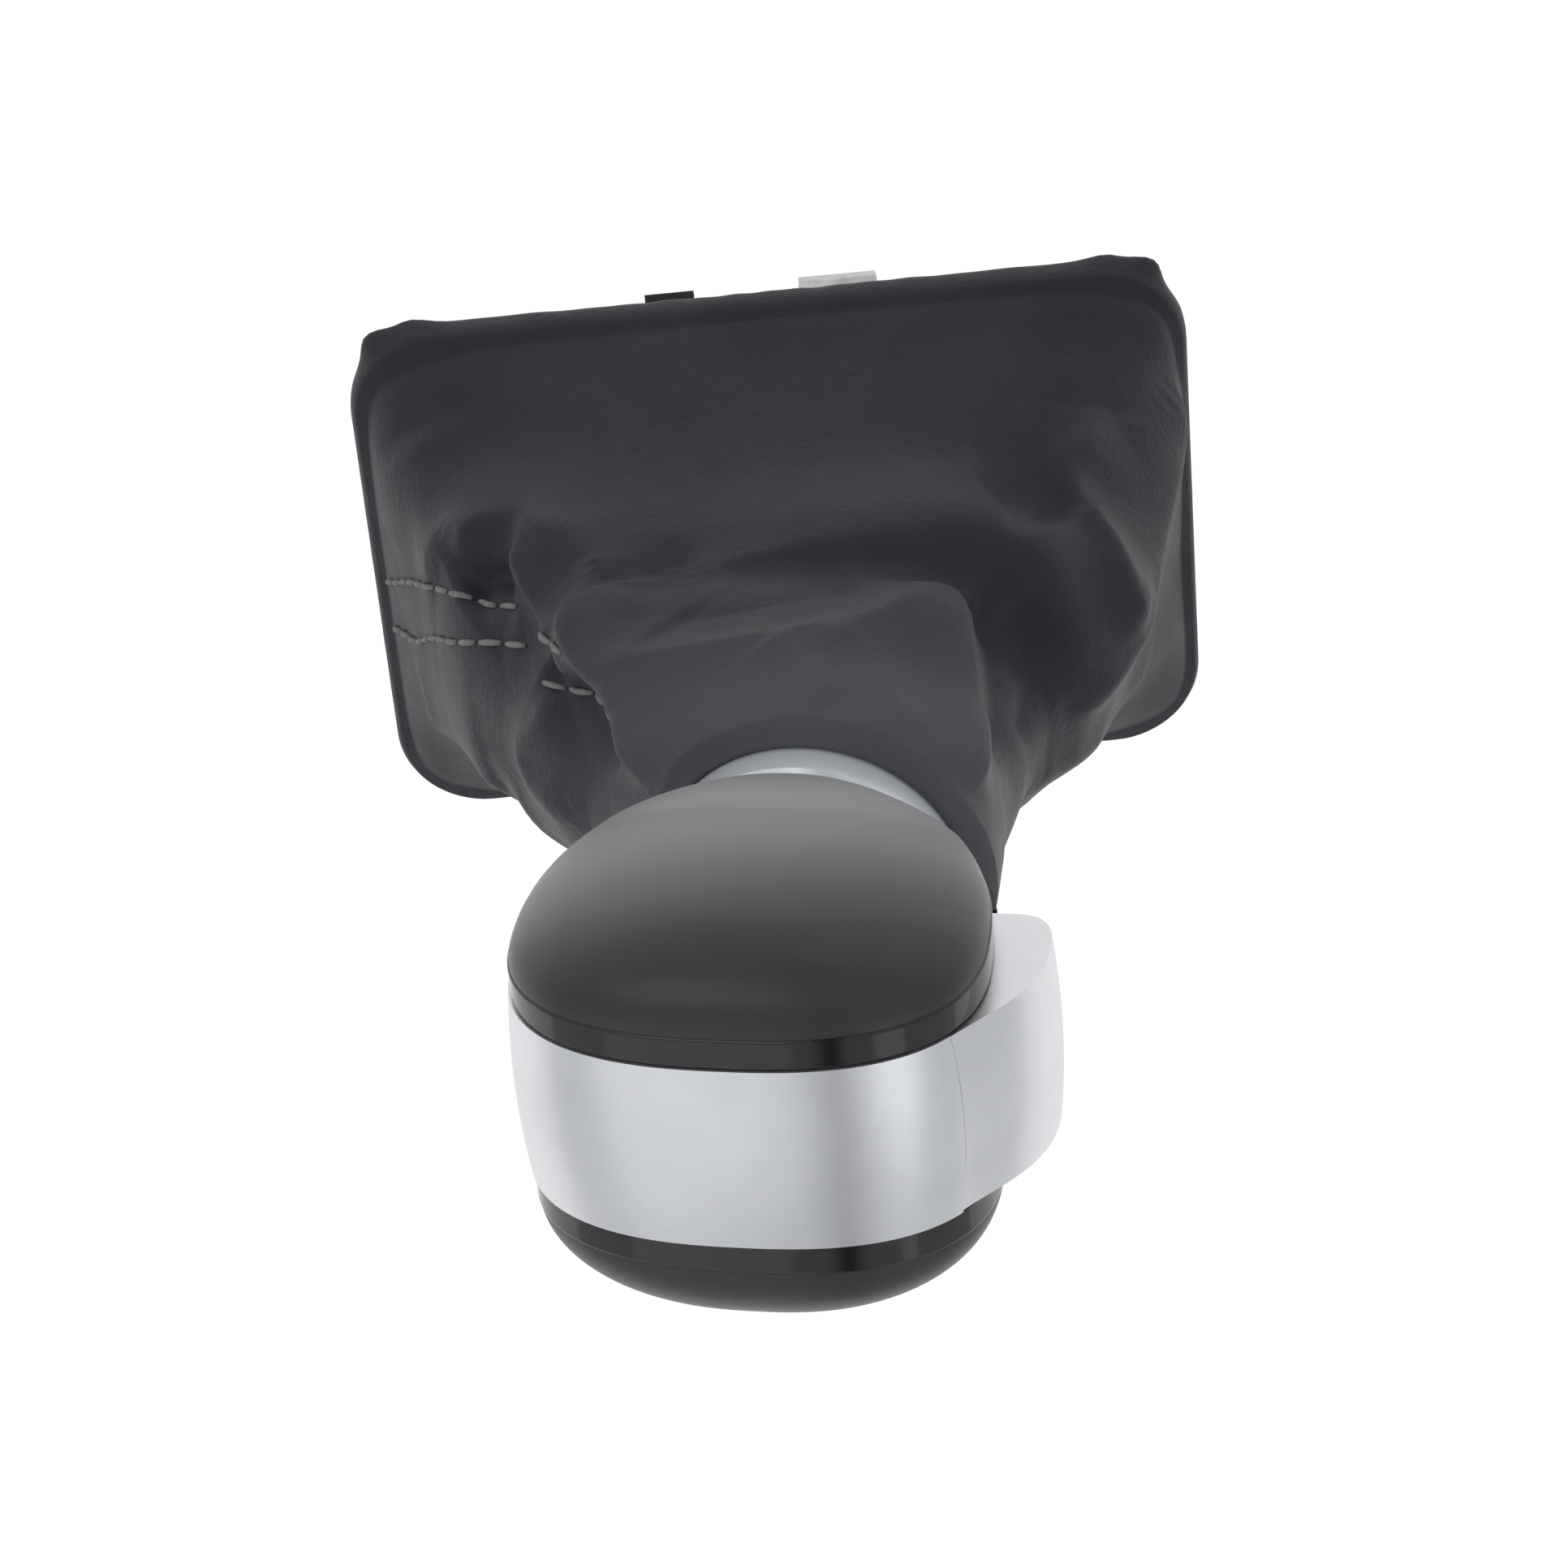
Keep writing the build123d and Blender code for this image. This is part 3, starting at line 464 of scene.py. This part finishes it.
# Two rows of thick grey thread run up the gaiter's left side, where the leather is sewn together.
# Each stitch is a short length of thread that dips into the leather at both ends.
stitch_length = 4.1 * mm
stitch_pause = 1.1 * mm
thread_radius = 0.48 * mm
thread_sides = 6
thread_steps = 6
thread_rise = 0.9
thread_sink = 0.15
thread_thin = 0.55
thread_swell = 0.45
seam_steps = 40
seam_rows = (
    [(178, 8), (174, 15), (169, 23), (159, 40), (156, 45), (148, 51)],
    [(146, 59), (144, 62), (140, 68)],
    [(186, 8), (182, 19), (173, 32), (165, 44), (153, 56)],
    [(156, 62), (154, 65), (145, 73), (141, 79)],
)
wall_facing = facing(wall)
thread_points = []
thread_faces = []
for seam_row in seam_rows:
    places = drawn_through(seam_row, seam_steps)
    seam_path = on_wall(wall, places)
    seam_out = on_wall(wall_facing, places)
    run = np.concatenate([[0.0], np.cumsum(np.linalg.norm(np.diff(seam_path, axis=0), axis=1))])
    for begin in np.arange(0, run[-1] - stitch_length, stitch_length + stitch_pause):
        marks = begin + stitch_length * np.linspace(0, 1, thread_steps)
        middle = np.stack([np.interp(marks, run, seam_path[:, axis]) for axis in range(3)], -1)
        out = np.stack([np.interp(marks, run, seam_out[:, axis]) for axis in range(3)], -1)
        along = np.gradient(middle, axis=0)
        side = np.cross(out, along)
        side /= np.linalg.norm(side, axis=1, keepdims=True)
        swell = np.sin(math.pi * np.linspace(0.1, 0.9, thread_steps))
        start_index = len(thread_points)
        for step in range(thread_steps):
            heart = middle[step] + out[step] * thread_radius * (thread_rise * swell[step] - thread_sink)
            for corner_step in range(thread_sides):
                turn = 2 * math.pi * corner_step / thread_sides
                ray = side[step] * math.cos(turn) + out[step] * math.sin(turn)
                thread_points.append(heart + ray * thread_radius * (thread_thin + thread_swell * swell[step]))
        for step in range(thread_steps - 1):
            for corner_step in range(thread_sides):
                a = start_index + step * thread_sides + corner_step
                b = start_index + step * thread_sides + (corner_step + 1) % thread_sides
                thread_faces.append((a, b, b + thread_sides, a + thread_sides))
        last = start_index + (thread_steps - 1) * thread_sides
        thread_faces.append(tuple(range(start_index + thread_sides - 1, start_index - 1, -1)))
        thread_faces.append(tuple(range(last, last + thread_sides)))
thread_mesh = bpy.data.meshes.new("gaiter_stitching")
thread_mesh.from_pydata([tuple(point) for point in thread_points], [], thread_faces)
thread_mesh.shade_smooth()
stitching = bpy.data.objects.new("gaiter_stitching", thread_mesh)
bpy.context.scene.collection.objects.link(stitching)
thread_finish = start_finish("stitching_thread", (0.2, 0.19, 0.195), 0.7)
mottle(thread_finish, (0.15, 0.142, 0.147), (0.24, 0.23, 0.234), 0.8 * mm)
grain(thread_finish, spread_noise(thread_finish, 0.25 * mm), 0.04 * mm)
thread_mesh.materials.append(thread_finish)
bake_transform(stitching)


# The sleeve slides over the lever rod, and a one-ear clamp closes its slotted foot on the rod.
# The sleeve is moulded in dark plastic, the clamp and the gaiter's band are zinc-plated strip.
sleeve_plastic = start_finish("sleeve_plastic", (0.05, 0.05, 0.05), 0.55)
mottle(sleeve_plastic, (0.04, 0.04, 0.042), (0.06, 0.06, 0.062), 8 * mm)
grain(sleeve_plastic, spread_noise(sleeve_plastic, 0.6 * mm), 0.02 * mm)
dress("neck_sleeve", sleeve_plastic)
zinc_steel = start_finish("zinc_steel", (0.58, 0.58, 0.56), 0.38, metallic=0.9)
mottle(zinc_steel, (0.5, 0.5, 0.47), (0.66, 0.66, 0.65), 3 * mm)
vary_roughness(zinc_steel, 1.5 * mm, 0.3, 0.48)
dress("neck_clamp", zinc_steel)
dress("gaiter_clamp", zinc_steel)


# The core is moulded in two black halves, screwed together round the button's slider and the plunger.
# The collar's carrier is of the same plastic.
core_plastic = start_finish("core_plastic", (0.028, 0.028, 0.03), 0.55)
mottle(core_plastic, (0.022, 0.022, 0.024), (0.034, 0.034, 0.036), 7 * mm)
grain(core_plastic, spread_noise(core_plastic, 0.5 * mm), 0.02 * mm)
dress("core_rear", core_plastic)
dress("core_front", core_plastic)
dress("collar_carrier", core_plastic)
dress("core_screws", zinc_steel)


# The plunger and the slider are moulded in pale acetal, with a steel pin through both. A coil spring sits
# behind the slider.
acetal = start_finish("acetal", (0.72, 0.71, 0.67), 0.45)
mottle(acetal, (0.68, 0.67, 0.63), (0.75, 0.74, 0.7), 6 * mm)
grain(acetal, spread_noise(acetal, 0.8 * mm), 0.01 * mm)
dress("plunger", acetal)
dress("button_slider", acetal)
dress("cross_pin", spring_steel)
coil_solid = frame["nodes"]["button_spring"]
coil = bpy.data.objects.new("button_coil", coil_solid.data.copy())
coil.matrix_world = coil_solid.matrix_world.copy()
coil.data.materials.clear()
coil.data.materials.append(spring_steel)
bpy.context.scene.collection.objects.link(coil)
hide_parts("button_spring")
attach(coil, "lever")
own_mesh(coil)


# The collar is a plated sleeve with a bright chamfered lip, between the gaiter's mouth and the knob.
# It is pushed over its carrier, which sits on the core's neck.
collar_chrome = start_finish("collar_chrome", (0.8, 0.83, 0.87), 0.22, metallic=0.35)
vary_roughness(collar_chrome, 3 * mm, 0.18, 0.28)
grain(collar_chrome, spread_noise(collar_chrome, 0.4 * mm), 0.002 * mm)
dress("collar_ring", collar_chrome)


# The band over the knob and the release button beside it are plated plastic with a satin silver coat.
# The coat has a fine even grain and a sheen that wanders a little.
satin_silver = start_finish("satin_silver", (0.7, 0.71, 0.73), 0.32, metallic=0.92)
mottle(satin_silver, (0.68, 0.69, 0.71), (0.73, 0.74, 0.76), 12 * mm)
vary_roughness(satin_silver, 4 * mm, 0.29, 0.36)
grain(satin_silver, spread_noise(satin_silver, 0.22 * mm), 0.003 * mm)
dress("trim_band", satin_silver)
dress("release_button", satin_silver)


# The bezels are gloss black rings moulded in plastic, between the band and the domes. Their outline, and the
# domes' over them, draws in to the collar as an egg does to its narrow end.
gloss_black = start_finish("gloss_black", (0.012, 0.012, 0.014), 0.09)
vary_roughness(gloss_black, 5 * mm, 0.06, 0.13)
grain(gloss_black, spread_noise(gloss_black, 6 * mm), 0.01 * mm)
knob_up = -lever_down
widest = 35.5 * mm
foot_end = 0.985
moulded_power = 2.5
egg_power = 2.0
bulge_from = 17.2 * mm
foot_bulge = 0.85
full_bulge = 1.1
full_from = 30.0 * mm


def half_outline(below, power):
    """Half the outline's width, as a share, at a share of the way below its widest place."""
    return max(1 - below**power, 0.0) ** (1 / power)


def shape_foot(name, finish):
    """A cover or bezel with its foot drawn in and its dome a little fuller, in place of the moulded one."""
    solid = frame["nodes"][name]
    mesh = solid.data.copy()
    mesh.name = name + "_shaped"
    piece = bpy.data.objects.new(name + "_shaped", mesh)
    piece.matrix_world = solid.matrix_world.copy()
    into_solid = solid.matrix_world.inverted()
    for vertex in mesh.vertices:
        place = solid.matrix_world @ vertex.co - knob_foot
        up = place.dot(knob_up)
        across = place.dot(lever_across)
        below = min(max(1 - up / widest, 0.0), foot_end)
        drawn = half_outline(below, egg_power) / half_outline(below, moulded_power)
        proud = max(abs(place.y) - bulge_from, 0.0)
        rise = min(max(up / full_from, 0.0), 1.0)
        bulge = foot_bulge + (full_bulge - foot_bulge) * rise * rise * (3 - 2 * rise)
        fuller = math.copysign(proud * (bulge - 1), place.y)
        place += lever_across * across * (drawn - 1) + driver_way * fuller
        vertex.co = into_solid @ (knob_foot + place)
    mesh.materials.clear()
    mesh.materials.append(finish)
    bpy.context.scene.collection.objects.link(piece)
    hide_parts(name)
    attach(piece, "lever")


shape_foot("rear_bezel", gloss_black)
shape_foot("front_bezel", gloss_black)


# The domes are moulded covers with a soft-touch coat, slightly shiny from the hand.
# Their pegs go through the bezels into the core.
soft_black = start_finish("soft_black", (0.04, 0.04, 0.043), 0.3)
# The coat's colour is painted lighter low on the dome, near the collar, and darker higher up: a painted
# sheen.
dome_sheen_share = by_height(soft_black, 106 * mm, 142 * mm)
dome_painted_sheen_tone = ramp_between(soft_black, dome_sheen_share, (0.31, 0.308, 0.318), (0.028, 0.028, 0.031), 0.0, 1.0)
join(soft_black, dome_painted_sheen_tone, shader_of(soft_black).inputs["Base Color"])
vary_roughness(soft_black, 7 * mm, 0.34, 0.44)
shader_of(soft_black).inputs["Specular IOR Level"].default_value = 0.42
grain(soft_black, spread_noise(soft_black, 0.3 * mm), 0.006 * mm)
shape_foot("rear_cover", soft_black)
shape_foot("front_cover", soft_black)


# The stage is a pale floor just under the frame's clips. It shows white to the eye and in reflections, and
# keeps a faint shadow.
floor_size = 6.0
floor_white = 0.88
floor_clear = 0.2 * mm
floor_mesh = bpy.data.meshes.new("studio_floor")
half = floor_size / 2
floor_height = solid_corners[0][2] - floor_clear
floor_mesh.from_pydata(
    [(x, y, floor_height) for x, y in ((-half, -half), (half, -half), (half, half), (-half, half))],
    [],
    [(0, 1, 2, 3)],
)
floor = bpy.data.objects.new("studio_floor", floor_mesh)
bpy.context.scene.collection.objects.link(floor)
floor_finish = start_finish("studio_floor", (0.86, 0.86, 0.86), 0.9)
glow = add_node(floor_finish, "ShaderNodeEmission", {"Color": (1, 1, 1, 1), "Strength": 1.12})
ray = add_node(floor_finish, "ShaderNodeLightPath")
seen = add_node(floor_finish, "ShaderNodeMath")
seen.operation = "MAXIMUM"
shown = add_node(floor_finish, "ShaderNodeMath")
shown.operation = "MAXIMUM"
part = add_node(floor_finish, "ShaderNodeMath", {1: floor_white})
part.operation = "MULTIPLY"
blend_floor = add_node(floor_finish, "ShaderNodeMixShader")
join(floor_finish, ray.outputs["Is Camera Ray"], seen.inputs[0])
join(floor_finish, ray.outputs["Is Glossy Ray"], seen.inputs[1])
join(floor_finish, seen.outputs[0], shown.inputs[0])
join(floor_finish, ray.outputs["Is Transmission Ray"], shown.inputs[1])
join(floor_finish, shown.outputs[0], part.inputs[0])
join(floor_finish, part.outputs[0], blend_floor.inputs["Fac"])
join(floor_finish, shader_of(floor_finish).outputs["BSDF"], blend_floor.inputs[1])
join(floor_finish, glow.outputs["Emission"], blend_floor.inputs[2])
floor_surface = floor_finish.node_tree.nodes["Material Output"].inputs["Surface"]
join(floor_finish, blend_floor.outputs["Shader"], floor_surface)
floor_mesh.materials.append(floor_finish)


# The light is a pale room with a darker strip overhead, which the band mirrors as a streak, two soft boxes
# either side of it and one on the driver's side, to the left.
room_light = 0.66
strip_dip = 0.6
strip_width = 0.13
strip_place = 0.02
studio = bpy.data.worlds.new("studio")
studio.use_nodes = True
studio_nodes = studio.node_tree.nodes
studio_links = studio.node_tree.links
room = studio_nodes["Background"]
room.inputs["Color"].default_value = (0.97, 0.985, 1.0, 1)
direction = studio_nodes.new("ShaderNodeTexCoord")
parts = studio_nodes.new("ShaderNodeSeparateXYZ")
sideways = studio_nodes.new("ShaderNodeMath")
sideways.operation = "SUBTRACT"
sideways.inputs[1].default_value = strip_place
distance_off = studio_nodes.new("ShaderNodeMath")
distance_off.operation = "ABSOLUTE"
strip = studio_nodes.new("ShaderNodeMapRange")
strip.interpolation_type = "SMOOTHSTEP"
for name, value in (("From Max", strip_width), ("To Min", room_light - strip_dip), ("To Max", room_light)):
    strip.inputs[name].default_value = value
studio_links.new(direction.outputs["Generated"], parts.inputs["Vector"])
studio_links.new(parts.outputs["X"], sideways.inputs[0])
studio_links.new(sideways.outputs[0], distance_off.inputs[0])
studio_links.new(distance_off.outputs[0], strip.inputs["Value"])
studio_links.new(strip.outputs["Result"], room.inputs["Strength"])
bpy.context.scene.world = studio
view_middle = Vector((-3.3 * mm, 0, 68.3 * mm))


def soft_box(name, place, size, power):
    """A square lamp that faces the object."""
    lamp = bpy.data.lights.new(name, "AREA")
    lamp.size = size
    lamp.energy = power
    box = bpy.data.objects.new(name, lamp)
    box.location = place
    box.rotation_euler = (view_middle - Vector(place)).to_track_quat("-Z", "Y").to_euler()
    bpy.context.scene.collection.objects.link(box)


soft_box("left_soft_box", (-0.62, -0.42, 0.95), 0.9, 0.8)
soft_box("right_soft_box", (0.5, -0.42, 0.95), 0.5, 0.45)
soft_box("driver_side_box", (-0.45, 0.85, 0.7), 0.6, 1.3)


# The camera looks down on the lever from the driver's side, about 30 degrees off the vertical, as in the
# photograph. It is turned so that the knob comes below the frame in the picture.
off_axis = math.radians(32.53)
roll_left = math.radians(5.4)
camera_distance = 0.62
pixels_per_mm = 9.312
photo_pixels = 1932
sensor = 36.0
looking = Vector((0, -math.sin(off_axis), -math.cos(off_axis)))
upright = Vector((0, math.cos(off_axis), -math.sin(off_axis)))
rightward = Vector((1, 0, 0))
image_right = rightward * math.cos(roll_left) - upright * math.sin(roll_left)
image_up = rightward * math.sin(roll_left) + upright * math.cos(roll_left)
lens = bpy.data.cameras.new("photo_camera")
lens.sensor_width = sensor
lens.lens = sensor * pixels_per_mm * camera_distance / mm / photo_pixels
camera = bpy.data.objects.new("photo_camera", lens)
stand = Matrix((image_right, image_up, -looking)).transposed().to_4x4()
stand.translation = view_middle - looking * camera_distance
camera.matrix_world = stand
bpy.context.scene.collection.objects.link(camera)
bpy.context.scene.camera = camera
bpy.context.scene.view_settings.view_transform = "Standard"
